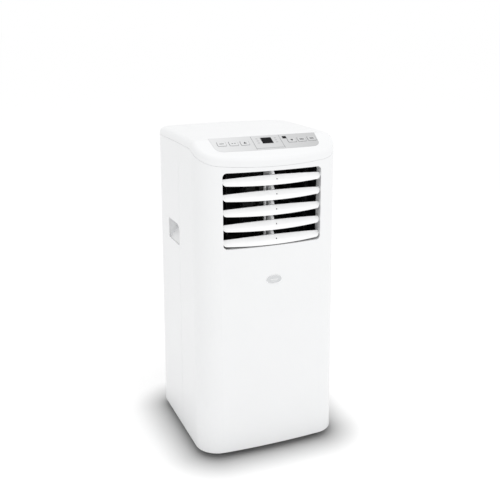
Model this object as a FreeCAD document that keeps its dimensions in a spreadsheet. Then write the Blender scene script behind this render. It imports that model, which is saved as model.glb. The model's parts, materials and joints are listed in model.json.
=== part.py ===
import FreeCAD, Part
import math
import os

import Sketcher
from FreeCAD import Placement, Rotation, Vector

# A portable air conditioner on four casters: moulded covers, a louvred outlet with
# coupled blades and vanes, a key panel on the slanted brow, and the cooling machinery
# inside.  Millimetres, +X right, -Y front, +Z up, origin on the floor under the middle.

DIMENSIONS = (
    # overall form
    ("body_height", 700.0), ("skirt_level", 14.0), ("base_half_width", 164.0),
    ("base_half_depth", 162.5), ("top_half_width", 158.0), ("top_half_depth", 156.5),
    ("base_bow", 8.0), ("top_bow", 20.0), ("front_corner", 52.0), ("rear_corner", 34.0),
    ("crown_radius", 5000.0), ("brow_y", -90.0), ("brow_angle", 27.8),
    ("rim_fillet", 12.0), ("brow_fillet", 16.0), ("cover_wall", 2.5),
    ("seam_gap", 0.5), ("side_seam_y", -10.0), ("cap_depth", 16.0),
    # louvred outlet
    ("window_width", 220.0), ("window_low", 479.0), ("window_high", 637.0),
    ("window_corner", 9.0), ("reveal_end_y", -127.0), ("blade_pitch", 31.6),
    ("blade_first_z", 616.9), ("blade_tall", 19.0), ("blade_lean", 10.5),
    ("blade_thickness", 2.4), ("blade_front_gap", 1.6), ("blade_width", 218.4),
    ("blade_corner", 8.0), ("blade_pivot_y", -143.0), ("blade_pivot_rise", 1.5),
    ("blade_end_tall", 12.2), ("blade_dimple", 1.4), ("rib_half", 3.0),
    ("pin_radius", 1.5), ("pin_hole", 1.55), ("link_x", -14.0), ("link_reach", 12.0),
    ("frame_back_y", -84.0), ("frame_wall", 2.5), ("frame_half_width", 114.0),
    ("vane_pitch", 36.0), ("vane_pivot_y", -107.0), ("vane_depth", 20.0),
    ("vane_thickness", 1.6), ("vane_link_y", -91.5),
    # control panel, in the brow's own plane
    ("panel_top_half", 119.5), ("panel_bottom_half", 115.0), ("panel_top", -1.5),
    ("panel_bottom", -47.5), ("panel_sheet", 1.4), ("panel_sink", 1.2),
    ("panel_bow", 2.0), ("panel_corner", 18.0), ("panel_ledge", 1.8),
    ("key_width", 18.0), ("key_tall", 13.5), ("key_row", -21.6), ("key_arc", 2.4),
    ("key_proud", 0.9), ("key_stem", 5.0), ("key_slack", 0.3),
    ("display_width", 24.0), ("display_tall", 20.0), ("display_x", 3.5), ("display_v", -19.0),
    ("sensor_width", 9.0), ("sensor_tall", 8.0), ("sensor_x", 45.5), ("sensor_v", -12.1),
    # badge, grips
    ("badge_long", 34.0), ("badge_tall", 18.0), ("badge_z", 405.0), ("badge_thickness", 1.6),
    ("grip_front_y", -8.0), ("grip_rear_y", 71.0), ("grip_low", 455.0), ("grip_high", 501.0),
    ("grip_depth", 29.0), ("grip_corner", 16.0), ("grip_wall", 2.0),
    # casters
    ("caster_x", 111.0), ("caster_y", 128.0), ("wheel_radius", 14.5), ("wheel_width", 14.0),
    ("caster_trail", 8.0), ("axle_radius", 2.0), ("stem_radius", 4.0),
    # machinery
    ("deck_level", 442.0), ("compressor_radius", 48.0), ("compressor_tall", 150.0),
    ("condenser_wheel_radius", 58.0), ("evaporator_wheel_radius", 74.0),
    ("shaft_radius", 4.0), ("motor_radius", 36.0),
    # rear fittings
    ("collar_z", 350.0), ("collar_bore", 65.0), ("collar_length", 37.0), ("collar_wall", 2.6),
    ("filter_half_width", 131.0), ("filter_low", 450.5), ("filter_high", 649.5),
    ("filter_back_y", 157.2), ("filter_thickness", 6.2),
    ("gland_x", 92.0), ("gland_z", 66.0), ("gland_bore", 3.6),
    ("drain_x", -88.0), ("drain_z", 54.0), ("drain_bore", 7.0),
    ("screw_head", 4.0), ("screw_shank", 2.0),
)

doc = FreeCAD.newDocument("PortableAirConditioner")
sheet = doc.addObject("Spreadsheet::Sheet", "Dims")
for row, (alias, amount) in enumerate(DIMENSIONS, start=1):
    sheet.set(f"A{row}", alias)
    sheet.set(f"B{row}", str(amount))
    sheet.setAlias(f"B{row}", alias)
doc.recompute()


class Size:
    """A length that carries both its number and its spreadsheet expression."""

    def __init__(self, number, text):
        self.number = number
        self.text = text

    @staticmethod
    def of(value):
        return value if isinstance(value, Size) else Size(float(value), f"({float(value)})")

    def __add__(self, other):
        other = Size.of(other)
        return Size(self.number + other.number, f"({self.text} + {other.text})")

    def __sub__(self, other):
        other = Size.of(other)
        return Size(self.number - other.number, f"({self.text} - {other.text})")

    def __mul__(self, other):
        other = Size.of(other)
        return Size(self.number * other.number, f"({self.text} * {other.text})")

    def __neg__(self):
        return Size(-self.number, f"(-1 * {self.text})")

    __radd__ = __add__
    __rmul__ = __mul__

    def __rsub__(self, other):
        return Size.of(other) - self


class Dims:
    """Reads an alias of the sheet as a Size: dims.body_height, and so on."""

    def __getattr__(self, alias):
        return Size(float(sheet.get(alias)), f"Dims.{alias}")


dims = Dims()
nodes = {}


def num(value):
    return value.number if isinstance(value, Size) else float(value)


def bind(obj, prop, value):
    """Sets a property, and ties it to the sheet when the value comes from there."""
    setattr(obj, prop, num(value))
    if isinstance(value, Size):
        obj.setExpression(prop, value.text)


def place(obj, x=0, y=0, z=0, axis=Vector(0, 0, 1), angle=0):
    obj.Placement = Placement(Vector(num(x), num(y), num(z)), Rotation(axis, angle))
    for letter, value in zip("xyz", (x, y, z)):
        if isinstance(value, Size):
            obj.setExpression(f".Placement.Base.{letter}", value.text)
    return obj


def node(name, obj):
    """Names the finished sub-part, whose shape goes to a file of that name."""
    obj.Label = name
    nodes[name] = obj
    return obj


# ------------------------------------------------------------ Part building blocks
def block(name, x, y, z):
    """A box from three (low, high) pairs."""
    obj = doc.addObject("Part::Box", name)
    bind(obj, "Length", Size.of(x[1]) - x[0])
    bind(obj, "Width", Size.of(y[1]) - y[0])
    bind(obj, "Height", Size.of(z[1]) - z[0])
    return place(obj, x[0], y[0], z[0])


TURN = {"x": (Vector(0, 1, 0), 90), "y": (Vector(1, 0, 0), -90), "z": (Vector(0, 0, 1), 0)}


def rod(name, radius, length, x, y, z, along="z"):
    """A cylinder that starts at a point and runs along a positive axis."""
    obj = doc.addObject("Part::Cylinder", name)
    bind(obj, "Radius", radius)
    bind(obj, "Height", length)
    return place(obj, x, y, z, *TURN[along])


def fuse(name, parts):
    if len(parts) == 1:
        return parts[0]
    obj = doc.addObject("Part::MultiFuse", name)
    obj.Shapes = parts
    return obj


def fuse_in_turn(name, parts):
    """Joins the parts to the first one by one, which suits a curved base."""
    joined = parts[0]
    for index, part in enumerate(parts[1:], start=1):
        step = doc.addObject("Part::Fuse", f"{name}_{index}")
        step.Base = joined
        step.Tool = part
        joined = step
    return joined


def cut(name, base, tools):
    obj = doc.addObject("Part::Cut", name)
    obj.Base = base
    obj.Tool = fuse(f"{name}_tools", tools)
    return obj


def common(name, first, second):
    obj = doc.addObject("Part::Common", name)
    obj.Base = first
    obj.Tool = second
    return obj


def group(name, parts):
    """Identical separate solids that share one node."""
    obj = doc.addObject("Part::Compound", name)
    obj.Links = parts
    return obj


def solid(name, shape):
    """A free-form sub-part whose shape is worked out by Part's own functions."""
    obj = doc.addObject("Part::Feature", name)
    obj.Shape = shape
    return obj


# ------------------------------------------------------------ PartDesign building blocks
def body_at(name, placement=Placement()):
    body = doc.addObject("PartDesign::Body", name)
    body.Placement = placement
    return body


def sketch_on(body, role, name):
    plane = [f for f in body.Origin.OriginFeatures if f.Role == role][0]
    sketch = body.newObject("Sketcher::SketchObject", name)
    sketch.AttachmentSupport = [(plane, "")]
    sketch.MapMode = "FlatFace"
    return sketch


def tie(sketch, constraint, value):
    """Adds a dimension and ties it to the sheet."""
    index = sketch.addConstraint(constraint)
    if isinstance(value, Size):
        sketch.setExpression(f"Constraints[{index}]", value.text)


def at_point(sketch, geo, point, x, y):
    """Fixes one point of a sketch by its two distances from the origin."""
    for kind, value, axis in (("DistanceX", x, -2), ("DistanceY", y, -1)):
        if abs(num(value)) < 1e-9:
            sketch.addConstraint(Sketcher.Constraint("PointOnObject", geo, point, axis))
        else:
            tie(sketch, Sketcher.Constraint(kind, -1, 1, geo, point, num(value)), value)


def bowed(start, end, bulge):
    """An arc that stands out by bulge to the right of its chord."""
    along = end - start
    outward = Vector(along.y, -along.x, 0).normalize()
    return Part.Arc(start, (start + end) * 0.5 + outward * bulge, end)


def polygon(sketch, points, bulges=None):
    """A closed chain of sides, its corners dimensioned; bulges bows a side out by a height."""
    corners = [Vector(num(x), num(y), 0) for x, y in points]
    count = len(corners)
    bulges = bulges or {}
    sides = []
    for i, start in enumerate(corners):
        end = corners[(i + 1) % count]
        sides.append(bowed(start, end, bulges[i]) if i in bulges else Part.LineSegment(start, end))
    sketch.addGeometry(sides, False)
    for i in range(count):
        sketch.addConstraint(Sketcher.Constraint("Coincident", i, 2, (i + 1) % count, 1))
    for i, (x, y) in enumerate(points):
        at_point(sketch, i, 1, x, y)
    for i, bulge in bulges.items():
        half = corners[i].distanceToPoint(corners[(i + 1) % count]) / 2
        sketch.addConstraint(Sketcher.Constraint("Radius", i, (half * half + bulge * bulge) / (2 * bulge)))


def rectangle(sketch, width, tall, x=0, y=0):
    w, t = Size.of(width) * 0.5, Size.of(tall) * 0.5
    x, y = Size.of(x), Size.of(y)
    polygon(sketch, [(x - w, y - t), (x + w, y - t), (x + w, y + t), (x - w, y + t)])


def circle(sketch, radius, x=0, y=0):
    index = sketch.addGeometry(Part.Circle(Vector(num(x), num(y), 0), Vector(0, 0, 1), num(radius)))
    tie(sketch, Sketcher.Constraint("Radius", index, num(radius)), radius)
    at_point(sketch, index, 3, x, y)


def pad(body, sketch, length, both_ways=False, down=False):
    feature = body.newObject("PartDesign::Pad", f"{sketch.Name}_pad")
    feature.Profile = sketch
    bind(feature, "Length", length)
    feature.Midplane = both_ways
    feature.Reversed = down
    return feature


def pocket(body, sketch, length, up=False, both_ways=False):
    feature = body.newObject("PartDesign::Pocket", f"{sketch.Name}_pocket")
    feature.Profile = sketch
    bind(feature, "Length", length)
    feature.Reversed = up
    feature.Midplane = both_ways
    return feature


def upright_edges(feature):
    """Names of the straight edges that run along the feature's Z."""
    names = []
    for index, edge in enumerate(feature.Shape.Edges, start=1):
        along = edge.Vertexes[-1].Point - edge.Vertexes[0].Point
        if along.Length > 1e-6 and math.hypot(along.x, along.y) < 1e-6:
            names.append(f"Edge{index}")
    return names


def level_edges(feature, level):
    """Names of the edges that lie wholly at one height of the feature."""
    names = []
    for index, edge in enumerate(feature.Shape.Edges, start=1):
        box = edge.BoundBox
        if abs(box.ZMin - level) < 1e-4 and abs(box.ZMax - level) < 1e-4:
            names.append(f"Edge{index}")
    return names


def round_edges(body, feature, edges, radius):
    rounded = body.newObject("PartDesign::Fillet", f"{feature.Name}_round{len(body.Group)}")
    rounded.Base = (feature, edges)
    bind(rounded, "Radius", radius)
    doc.recompute()
    return rounded


def turned(name, points, placement=Placement()):
    """A turned body: a closed (radius, height) outline revolved about its upright axis."""
    body = body_at(name, placement)
    sketch = sketch_on(body, "XZ_Plane", f"{name}_outline")
    polygon(sketch, points)
    turn = body.newObject("PartDesign::Revolution", f"{name}_turn")
    turn.Profile = sketch
    turn.ReferenceAxis = (sketch, ["V_Axis"])
    turn.Angle = 360
    return body


def tile(name, width, tall, thickness, corner, edge, placement):
    """A small padded rectangle with rounded corners and a softened front edge."""
    body = body_at(name, placement)
    sketch = sketch_on(body, "XY_Plane", f"{name}_outline")
    rectangle(sketch, width, tall)
    feature = pad(body, sketch, thickness)
    doc.recompute()
    feature = round_edges(body, feature, upright_edges(feature), corner)
    if edge:
        round_edges(body, feature, level_edges(feature, num(thickness)), edge)
    return body


# ------------------------------------------------------------ the outer form
X_AXIS, Y_AXIS, Z_AXIS = Vector(1, 0, 0), Vector(0, 1, 0), Vector(0, 0, 1)


def level_outline(level, inset=0.0):
    """The closed plan outline at one level: straight sides and back, bowed front.

    Every arc keeps its centre when the outline is inset, so walls have one thickness."""
    share = (level - num(dims.skirt_level)) / num(dims.body_height - dims.skirt_level)

    def between(low, high):
        return num(low) + (num(high) - num(low)) * share

    half = between(dims.base_half_width, dims.top_half_width)
    depth = between(dims.base_half_depth, dims.top_half_depth)
    bow = between(dims.base_bow, dims.top_bow)
    front_r, rear_r = num(dims.front_corner), num(dims.rear_corner)
    bow_r = (half * half + bow * bow) / (2 * bow)
    bow_y = bow_r - depth
    corner_x = half - front_r
    corner_y = bow_y - math.sqrt((bow_r - front_r) ** 2 - corner_x ** 2)
    lean = math.atan2(corner_y - bow_y, corner_x)
    rear_x, rear_y = half - rear_r, depth - rear_r

    def on_arc(x, y, radius, angle):
        reach = radius - inset
        return Vector(x + reach * math.cos(angle), y + reach * math.sin(angle), level)

    def mirrored(point):
        return Vector(-point.x, point.y, point.z)

    front_mid = on_arc(0, bow_y, bow_r, -math.pi / 2)
    bow_end = on_arc(corner_x, corner_y, front_r, lean)
    corner_mid = on_arc(corner_x, corner_y, front_r, lean / 2)
    side_front = on_arc(corner_x, corner_y, front_r, 0)
    side_rear = on_arc(rear_x, rear_y, rear_r, 0)
    rear_mid = on_arc(rear_x, rear_y, rear_r, math.pi / 4)
    rear_end = on_arc(rear_x, rear_y, rear_r, math.pi / 2)
    edges = [
        Part.Arc(mirrored(bow_end), front_mid, bow_end),
        Part.Arc(bow_end, corner_mid, side_front),
        Part.LineSegment(side_front, side_rear),
        Part.Arc(side_rear, rear_mid, rear_end),
        Part.LineSegment(rear_end, mirrored(rear_end)),
        Part.Arc(mirrored(rear_end), mirrored(rear_mid), mirrored(side_rear)),
        Part.LineSegment(mirrored(side_rear), mirrored(side_front)),
        Part.Arc(mirrored(side_front), mirrored(corner_mid), mirrored(bow_end)),
    ]
    return Part.Wire([edge.toShape() for edge in edges])


def tapered(low, high, inset=0.0):
    return Part.makeLoft([level_outline(low, inset), level_outline(high, inset)], True, True)


BROW_Z = num(dims.body_height) - num(dims.brow_y) ** 2 / (2 * num(dims.crown_radius))
BROW = Placement(Vector(0, num(dims.brow_y), BROW_Z), Rotation(Vector(1, 0, 0), num(dims.brow_angle)))
FAR = 400.0
BEYOND_TOP = 40.0


def below_top(drop):
    """Everything below the crowned top and the slanted brow, both lowered by drop."""
    radius = num(dims.crown_radius) - drop
    crown = Part.makeSphere(radius)
    centre = Vector(0, 0, num(dims.body_height - dims.crown_radius))
    crown.Placement = Placement(centre, Rotation(Y_AXIS, 90))
    space = Part.makeBox(2 * FAR, 2 * FAR, 3 * FAR, Vector(-FAR, -FAR, -FAR)).common(crown)
    above_brow = Part.makeBox(2 * FAR, 2 * FAR, FAR, Vector(-FAR, -FAR, -drop))
    above_brow.Placement = BROW
    return space.cut(above_brow)


def is_top(face):
    u0, u1, v0, v1 = face.ParameterRange
    return face.normalAt((u0 + u1) / 2, (v0 + v1) / 2).z > 0.6


def same_edges(edges, others):
    return [edge for edge in edges if any(edge.isSame(other) for other in others)]


def envelope(inset=0.0, low=None):
    """The whole outer form, or the same form drawn in by a wall thickness."""
    low = num(dims.skirt_level) if low is None else low
    form = tapered(low, num(dims.body_height) + BEYOND_TOP, inset).common(below_top(inset))
    form = form.Solids[0]
    tops = [face for face in form.Faces if is_top(face)]
    brow_edge = same_edges(tops[0].Edges, tops[1].Edges)
    form = form.makeFillet(num(dims.brow_fillet) - inset, brow_edge)
    tops = [face for face in form.Faces if is_top(face)]
    walls = [face for face in form.Faces if not is_top(face)]
    top_edges = [edge for face in tops for edge in face.Edges]
    wall_edges = [edge for face in walls for edge in face.Edges]
    return form.makeFillet(num(dims.rim_fillet) - inset, same_edges(top_edges, wall_edges))


def window_prism(grow, front_y, back_y):
    """The louvred window's rounded rectangle, run along Y."""
    half = num(dims.window_width) / 2 + grow
    low, high = num(dims.window_low) - grow, num(dims.window_high) + grow
    prism = Part.makeBox(2 * half, back_y - front_y, high - low, Vector(-half, front_y, low))
    along = [e for e in prism.Edges if abs(e.BoundBox.YLength - (back_y - front_y)) < 1e-6]
    return prism.makeFillet(num(dims.window_corner) + grow, along)


def hole_along(axis, radius, length, x, y, z):
    return Part.makeCylinder(radius, length, Vector(x, y, z), axis)


BLADE_COUNT = 5
BLADE_LEVELS = [dims.blade_first_z - dims.blade_pitch * k for k in range(BLADE_COUNT)]
PIVOT_LEVELS = [level + dims.blade_pivot_rise for level in BLADE_LEVELS]


def make_front_cover(shell, below_cap):
    gap = num(dims.seam_gap) / 2
    ahead = Part.makeBox(2 * FAR, FAR, 2 * FAR, Vector(-FAR, num(dims.side_seam_y) - gap - FAR, 0))
    cover = shell.common(ahead).common(below_cap)
    reveal = window_prism(num(dims.cover_wall), -FAR, num(dims.reveal_end_y)).common(envelope())
    cover = cover.fuse(reveal).cut(window_prism(0, -FAR, 0))
    wall = num(dims.cover_wall)
    half = num(dims.window_width) / 2
    for level in PIVOT_LEVELS:
        for side in (-half - wall, half):
            cover = cover.cut(hole_along(X_AXIS, num(dims.pin_hole), wall, side,
                                         num(dims.blade_pivot_y), num(level)))
    seat = badge_prism(0.15, badge_face_y() + 0.8)
    return solid("front_cover_shape", cover.cut(seat).Solids[0])


def front_y_at(level):
    share = (num(level) - num(dims.skirt_level)) / num(dims.body_height - dims.skirt_level)
    return -num(dims.base_half_depth) - (num(dims.top_half_depth) - num(dims.base_half_depth)) * share


def badge_face_y():
    return front_y_at(dims.badge_z)


def badge_prism(grow, back_y):
    """An oval run along Y from ahead of the front face to back_y."""
    oval = Part.Ellipse(Vector(0, 0, 0), num(dims.badge_long) / 2 + grow, num(dims.badge_tall) / 2 + grow)
    face = Part.Face(Part.Wire([oval.toShape()]))
    depth = back_y + FAR
    prism = face.extrude(Vector(0, 0, depth))
    prism.Placement = Placement(Vector(0, back_y, num(dims.badge_z)), Rotation(X_AXIS, 90))
    return prism


FILTER_RECESS_WALL = 3.0
FILTER_LEDGE = 9.0


def box_between(low, high):
    return Part.makeBox(high[0] - low[0], high[1] - low[1], high[2] - low[2], Vector(*low))


def make_rear_cover(shell, below_cap):
    gap = num(dims.seam_gap) / 2
    behind = Part.makeBox(2 * FAR, FAR, 2 * FAR, Vector(-FAR, num(dims.side_seam_y) + gap, 0))
    cover = shell.common(behind).common(below_cap)
    half, low, high = num(dims.filter_half_width) + 1, num(dims.filter_low) - 1, num(dims.filter_high) + 1
    seat_y = num(dims.filter_back_y - dims.filter_thickness) - 1
    wall = FILTER_RECESS_WALL
    tray = box_between((-half - wall, seat_y - wall, low - wall), (half + wall, FAR, high + wall))
    cover = cover.fuse(tray.common(envelope(0.5)))
    cover = cover.cut(box_between((-half, seat_y, low), (half, FAR, high)))
    inner = half - FILTER_LEDGE
    cover = cover.cut(box_between((-inner, 0, low + FILTER_LEDGE), (inner, FAR, high - FILTER_LEDGE)))
    holes = [
        grille_prism(GRILLE_GAP),
        hole_along(Y_AXIS, num(dims.collar_bore + dims.collar_wall) + 0.3, 60, 0, 120, num(dims.collar_z)),
        hole_along(Y_AXIS, GLAND_SLEEVE + 0.15, 40, num(dims.gland_x), 140, num(dims.gland_z)),
        hole_along(Y_AXIS, DRAIN_HOLE, 40, num(dims.drain_x), 140, num(dims.drain_z)),
    ]
    for x, z in SCREW_PLACES:
        shank = hole_along(Y_AXIS, num(dims.screw_shank) + 0.1, 40, x, 140, z)
        head = hole_along(Y_AXIS, num(dims.screw_head) + 0.5, 40, x, -front_y_at(z) - SCREW_SINK, z)
        holes.append(shank.fuse(head))
    for side in (-1, 1):
        holes.append(grip_opening(side))
    for hole in holes:
        cover = cover.cut(hole)
    return solid("rear_cover_shape", cover.Solids[0])


def grille_prism(grow=0.0):
    """The intake grille's outline, run along Y through the rear wall."""
    half, low, high = GRILLE_HALF + grow, GRILLE_LOW - grow, GRILLE_HIGH + grow
    prism = box_between((-half, 135, low), (half, 180, high))
    along = [e for e in prism.Edges if abs(e.BoundBox.YLength - 45) < 1e-6]
    return prism.makeFillet(GRILLE_CORNER + grow, along)


def make_intake_grille(shell):
    """A flush insert in the rear wall, slotted, with upright stiffeners behind it."""
    plate = shell.common(grille_prism())
    inner_y = plate.BoundBox.YMin
    for x in GRILLE_STIFFENERS:
        stiffener = box_between((x - 1.2, inner_y - 4, GRILLE_LOW + 3),
                                (x + 1.2, inner_y + 2.4, GRILLE_HIGH - 3))
        plate = plate.fuse(stiffener)
    for row in range(GRILLE_ROWS):
        slot_z = GRILLE_FIRST + row * GRILLE_PITCH
        for x in GRILLE_COLUMNS:
            slot = box_between((x - SLOT_HALF, 135, slot_z), (x + SLOT_HALF, 180, slot_z + SLOT_TALL))
            plate = plate.cut(slot)
    return solid("intake_grille_shape", plate.Solids[0])


def make_top_cover(shell, below_cap):
    cap = shell.cut(below_cap)
    pocket_depth = num(dims.panel_sink)
    seat = brow_plate(0.2, FAR, -pocket_depth)
    window = brow_plate(-num(dims.panel_ledge), 60, -20)
    return solid("top_cover_shape", cap.cut(seat).cut(window).Solids[0])


def brow_plate(grow, top, bottom):
    """The control panel's outline, grown, between two heights over the brow plane."""
    upper, lower = num(dims.panel_top) + grow, num(dims.panel_bottom) - grow
    wide, narrow = num(dims.panel_top_half) + grow, num(dims.panel_bottom_half) + grow
    sides = Part.makePolygon([Vector(narrow, lower, bottom), Vector(wide, upper, bottom),
                              Vector(-wide, upper, bottom), Vector(-narrow, lower, bottom)])
    front = bowed(Vector(-narrow, lower, bottom), Vector(narrow, lower, bottom), num(dims.panel_bow)).toShape()
    plate = Part.Face(Part.Wire([front] + sides.Edges)).extrude(Vector(0, 0, top - bottom))
    lower_edges = [e for e in plate.Edges if e.BoundBox.ZLength > 1e-3 and e.BoundBox.XLength < 1e-3
                   and e.BoundBox.YMax < lower + 1e-3]
    plate = plate.makeFillet(num(dims.panel_corner) + grow, lower_edges)
    plate.Placement = BROW
    return plate


GRILLE_HALF, GRILLE_LOW, GRILLE_HIGH = 125.0, 84.0, 257.0
GRILLE_CORNER, GRILLE_GAP = 6.0, 0.35
GRILLE_ROWS, GRILLE_FIRST, GRILLE_PITCH = 11, 91.5, 15.4
GRILLE_COLUMNS = (-81.0, 0.0, 81.0)
GRILLE_STIFFENERS = (-40.5, 40.5)
SLOT_HALF, SLOT_TALL = 36.5, 5.0
GLAND_SLEEVE = 7.0
DRAIN_HOLE = 11.0
SCREW_PLACES = [(x, z) for x in (-122.0, 122.0) for z in (48.0, 300.0, 430.0)]
SCREW_SINK = 1.5


# ------------------------------------------------------------ side grips
def side_x_at(level):
    share = (num(level) - num(dims.skirt_level)) / num(dims.body_height - dims.skirt_level)
    return num(dims.base_half_width) + (num(dims.top_half_width) - num(dims.base_half_width)) * share


def grip_opening(side, grow=0.0):
    """The grip's mouth, run along X, its upper front corner well rounded."""
    front, rear = num(dims.grip_front_y) - grow, num(dims.grip_rear_y) + grow
    low, high = num(dims.grip_low) - grow, num(dims.grip_high) + grow
    prism = box_between((100, front, low), (FAR / 2, rear, high))
    along = [e for e in prism.Edges if e.BoundBox.XLength > 50]
    upper_front = [e for e in along if e.BoundBox.YMax < front + 1e-3 and e.BoundBox.ZMin > high - 1e-3]
    others = [e for e in along if not same_edges([e], upper_front)]
    prism = prism.makeFillet(num(dims.grip_corner) + grow, upper_front)
    keep = [e for e in prism.Edges if any(
        abs(e.BoundBox.YMin - o.BoundBox.YMin) < 1e-3 and abs(e.BoundBox.ZMin - o.BoundBox.ZMin) < 1e-3
        and e.BoundBox.XLength > 50 for o in others)]
    prism = prism.makeFillet(4.0 + grow, keep)
    return prism if side > 0 else prism.mirror(Vector(0, 0, 0), X_AXIS)


def scoop(side, grow):
    """The hand space: its floor slopes in from the mouth's lower edge to the finger well."""
    mouth = side_x_at(dims.grip_high + dims.grip_wall) - num(dims.cover_wall) - 0.15
    deep = mouth + num(dims.cover_wall) - num(dims.grip_depth) - grow
    low, high = num(dims.grip_low) - grow, num(dims.grip_high) + grow
    slope_top = high - 16
    outer_x = mouth if grow else FAR / 2
    points = [Vector(outer_x, 0, low), Vector(mouth, 0, low), Vector(deep, 0, slope_top),
              Vector(deep, 0, high), Vector(outer_x, 0, high)]
    if grow:
        points = points[1:]
    prism = Part.Face(Part.makePolygon(points + points[:1])).extrude(Vector(0, FAR, 0))
    prism.translate(Vector(0, -FAR / 2, 0))
    if side < 0:
        prism = prism.mirror(Vector(0, 0, 0), X_AXIS)
    return prism.common(grip_opening(side, grow))


def make_side_grip(name, side):
    wall = num(dims.grip_wall)
    return node(name, solid(f"{name}_shape", scoop(side, wall - 0.1).cut(scoop(side, 0.0)).Solids[0]))


# ------------------------------------------------------------ louvre blades
def make_blade(index, level, pivot):
    """One curved slat that follows the bowed front, with end pins and centre lugs."""
    name = f"louver_blade_{index}"
    front_y = Size.of(front_y_at(dims.window_low)) + dims.blade_front_gap
    half = num(dims.base_half_width + dims.top_half_width) / 2
    bow = num(dims.base_bow + dims.top_bow * 4) / 5
    bow_r = (half * half + bow * bow) / (2 * bow)
    axis_y = num(front_y) + bow_r
    body = body_at(f"{name}_slat", Placement(Vector(0, axis_y, num(level)), Rotation()))
    sketch = sketch_on(body, "YZ_Plane", f"{name}_section")
    half_tall = dims.blade_tall * 0.5 + 1.0
    thick = dims.blade_thickness
    lower, upper = Size.of(-bow_r), Size.of(-bow_r) + dims.blade_lean
    middle = Size.of(-bow_r) + dims.blade_lean * 0.35
    polygon(sketch, [
        (lower, -half_tall), (lower + thick * 0.7, -half_tall),
        (middle + thick, Size.of(0)), (upper + thick, half_tall),
        (upper, half_tall), (middle, Size.of(0) + 0.001),
    ])
    turn = body.newObject("PartDesign::Revolution", f"{name}_turn")
    turn.Profile = sketch
    turn.ReferenceAxis = (sketch, ["V_Axis"])
    turn.Angle = 2 * math.degrees(math.asin((num(dims.blade_width) / 2 + 6) / bow_r))
    turn.Midplane = True
    trim = body_at(f"{name}_trim", Placement(Vector(0, 0, num(level)), Rotation()))
    outline = sketch_on(trim, "XZ_Plane", f"{name}_outline")
    half_width, half_end = dims.blade_width * 0.5, dims.blade_end_tall * 0.5
    bulge = num(dims.blade_tall - dims.blade_end_tall) / 2
    polygon(outline, [(-half_width, -half_end), (half_width, -half_end), (half_width, half_end),
                      (-half_width, half_end)], {0: bulge, 2: bulge})
    block_pad = pad(trim, outline, 200)
    doc.recompute()
    low_corners, middle = [], block_pad.Shape.BoundBox.Center.z
    for number, edge in enumerate(block_pad.Shape.Edges, start=1):
        box = edge.BoundBox
        if box.YLength > 100 and box.XLength < 1 and box.ZMax < middle:
            low_corners.append(f"Edge{number}")
    round_edges(trim, block_pad, low_corners, dims.blade_corner)
    dimple = rod(f"{name}_dimple_tool", dims.blade_dimple, 60, DIMPLE_X, dims.blade_pivot_y - 40, pivot, "y")
    pieces = [cut(f"{name}_slat_pierced", common(f"{name}_curved", body, trim), [dimple])]
    for tag, start in (("left", -half_width - 3.2), ("right", half_width - 3.0)):
        pieces.append(rod(f"{name}_pin_{tag}", dims.pin_radius, 6.2, start, dims.blade_pivot_y, pivot, "x"))
    lug_start = dims.rib_half + 0.4
    for tag, start in (("left", -lug_start - LUG_THICK), ("right", lug_start)):
        pieces.append(lug(f"{name}_lug_{tag}", start, LUG_THICK, pivot, front_y))
    pieces.append(rod(f"{name}_centre_pin", dims.pin_radius, lug_start * 2 + 2, -lug_start - 1,
                      dims.blade_pivot_y, pivot, "x"))
    link_y = dims.blade_pivot_y + dims.link_reach
    pieces.append(arm(f"{name}_arm", dims.link_x, pivot, front_y))
    pieces.append(rod(f"{name}_link_pin", dims.pin_radius, 6.4, dims.link_x + 0.4, link_y, pivot, "x"))
    return node(name, fuse_in_turn(name, pieces))


LUG_THICK = 1.8
DIMPLE_X = 7.4


def lug(name, x, thickness, pivot, front_y):
    """A triangular web from the back of the slat to the centre pivot."""
    web = body_at(name, Placement(Vector(num(x), 0, 0), Rotation()))
    sketch = sketch_on(web, "YZ_Plane", f"{name}_outline")
    plate_y = front_y + dims.blade_lean * 0.35 + dims.blade_thickness * 0.6
    polygon(sketch, [
        (plate_y - 1.6, pivot - 7), (dims.blade_pivot_y + 1.2, pivot - 2.8),
        (dims.blade_pivot_y + 2.8, pivot), (dims.blade_pivot_y + 1.2, pivot + 2.8),
        (plate_y + 4.0, pivot + 5),
    ])
    pad(web, sketch, thickness)
    return web


def arm(name, x, pivot, front_y):
    """The web that carries a blade's link pin."""
    web = body_at(name, Placement(Vector(num(x) - 1.2, 0, 0), Rotation()))
    sketch = sketch_on(web, "YZ_Plane", f"{name}_outline")
    link_y = dims.blade_pivot_y + dims.link_reach
    plate_y = front_y + dims.blade_lean * 0.35 + dims.blade_thickness * 0.6
    polygon(sketch, [
        (plate_y - 1.6, pivot - 5), (link_y, pivot - 2.5), (link_y + 2.5, pivot),
        (link_y, pivot + 2.5), (plate_y + 4, pivot + 5),
    ])
    pad(web, sketch, 2.2)
    return web


def make_link_bar():
    """The upright bar behind the blades, hung on one pin of each blade."""
    link_y = dims.blade_pivot_y + dims.link_reach
    low, high = PIVOT_LEVELS[-1] - 4.5, PIVOT_LEVELS[0] + 4.5
    bar = block("link_bar_blank", (dims.link_x + 1.6, dims.link_x + 4.4),
                (link_y - 3, link_y + 3), (low, high))
    holes = []
    for index, level in enumerate(PIVOT_LEVELS, start=1):
        holes.append(rod(f"link_hole_{index}", dims.pin_hole, 10, dims.link_x - 2, link_y, level, "x"))
    return node("louver_link_bar", cut("louver_link_bar", bar, holes))


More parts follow.
